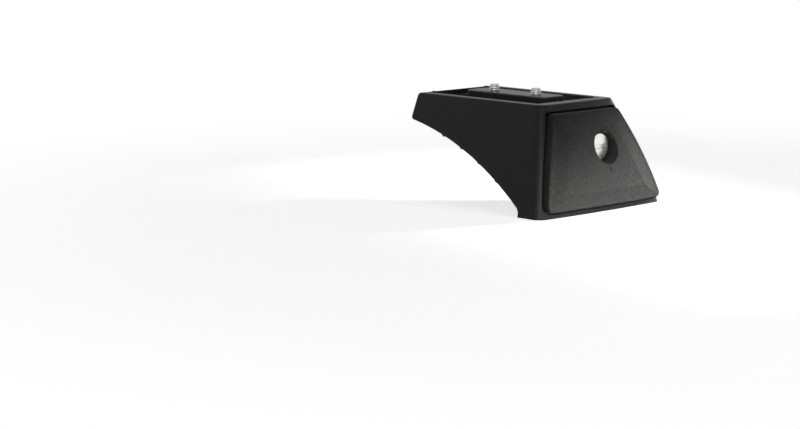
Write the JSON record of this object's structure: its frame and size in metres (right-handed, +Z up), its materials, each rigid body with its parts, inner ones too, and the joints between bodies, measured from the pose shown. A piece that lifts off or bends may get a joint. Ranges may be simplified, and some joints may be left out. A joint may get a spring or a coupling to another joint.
{
  "type": "roof bar foot",
  "caption": "Moulded roof bar foot with an arched arm under the bar, a locking outer cover, a bar clamp plate drawn down by screws, and base bolt holes.",
  "frame": {"origin": "on the base plane, midway between the two base bolt holes", "axes": "+X outboard, along the bar towards its end; +Y along the vehicle, on the lock's side; +Z up"},
  "size_m": [0.1171, 0.0996, 0.0631],
  "materials": {
    "leg_plastic": "satin moulded, black",
    "cover_plastic": "fine spark-eroded texture, charcoal",
    "pad_rubber": "matt",
    "coated_steel": "black coated",
    "zinc_steel": "zinc plated",
    "lock_chrome": "bright",
    "wafer_brass": "stamped"
  },
  "bodies": {
    "leg": {"leg_body": "leg_plastic", "saddle_pad": "pad_rubber", "flat_washers": "zinc_steel", "spring_washers": "zinc_steel", "base_sleeves": "zinc_steel"},
    "cover": {"outer_cover": "cover_plastic", "lock_housing": "lock_chrome", "lock_seal": "pad_rubber", "lock_clip": "zinc_steel"},
    "lock_core": {"lock_plug": "lock_chrome", "lock_wafers": "wafer_brass", "wafer_springs": "zinc_steel", "lock_cam": "zinc_steel", "cam_washer": "zinc_steel", "cam_screw": "zinc_steel"},
    "shutter": {"keyway_shutter": "lock_chrome", "shutter_spring": "zinc_steel"},
    "plate": {"clamp_plate": "coated_steel"},
    "inboard_screw": {"clamp_screw_inboard": "zinc_steel"},
    "outboard_screw": {"clamp_screw_outboard": "zinc_steel"}
  },
  "joints": [
    {"name": "cover_pull", "type": "slide", "parent": "leg", "child": "cover", "axis": [1, 0, 0], "range_m": [0, 0.045]},
    {"name": "lock_turn", "type": "hinge", "parent": "cover", "child": "lock_core", "pos_m": [0.0008, 0.0074, 0.0336], "axis": [1, 0, 0], "range_deg": [0, 90]},
    {"name": "shutter_swing", "type": "hinge", "parent": "lock_core", "child": "shutter", "pos_m": [-0.0001, 0.0074, 0.0352], "axis": [0, 1, 0], "range_deg": [0, 85], "stiffness_Nm_per_rad": 0.0005, "springref_deg": -20.05},
    {"name": "plate_lift", "type": "slide", "parent": "leg", "child": "plate", "axis": [0, 0, 1], "range_m": [0, 0.004]},
    {"name": "inboard_screw_turn", "type": "hinge", "parent": "leg", "child": "inboard_screw", "pos_m": [-0.0717, 0, 0.05], "axis": [0, 0, 1], "range_deg": [-1441, 1]},
    {"name": "outboard_screw_turn", "type": "hinge", "parent": "leg", "child": "outboard_screw", "pos_m": [-0.0397, 0, 0.05], "axis": [0, 0, 1], "range_deg": [-1441, 1]}
  ],
  "couplings": [
    {"joint": "inboard_screw_turn", "follows": "plate_lift", "rad_per_m": -6283.2},
    {"joint": "outboard_screw_turn", "follows": "plate_lift", "rad_per_m": -6283.2}
  ]
}
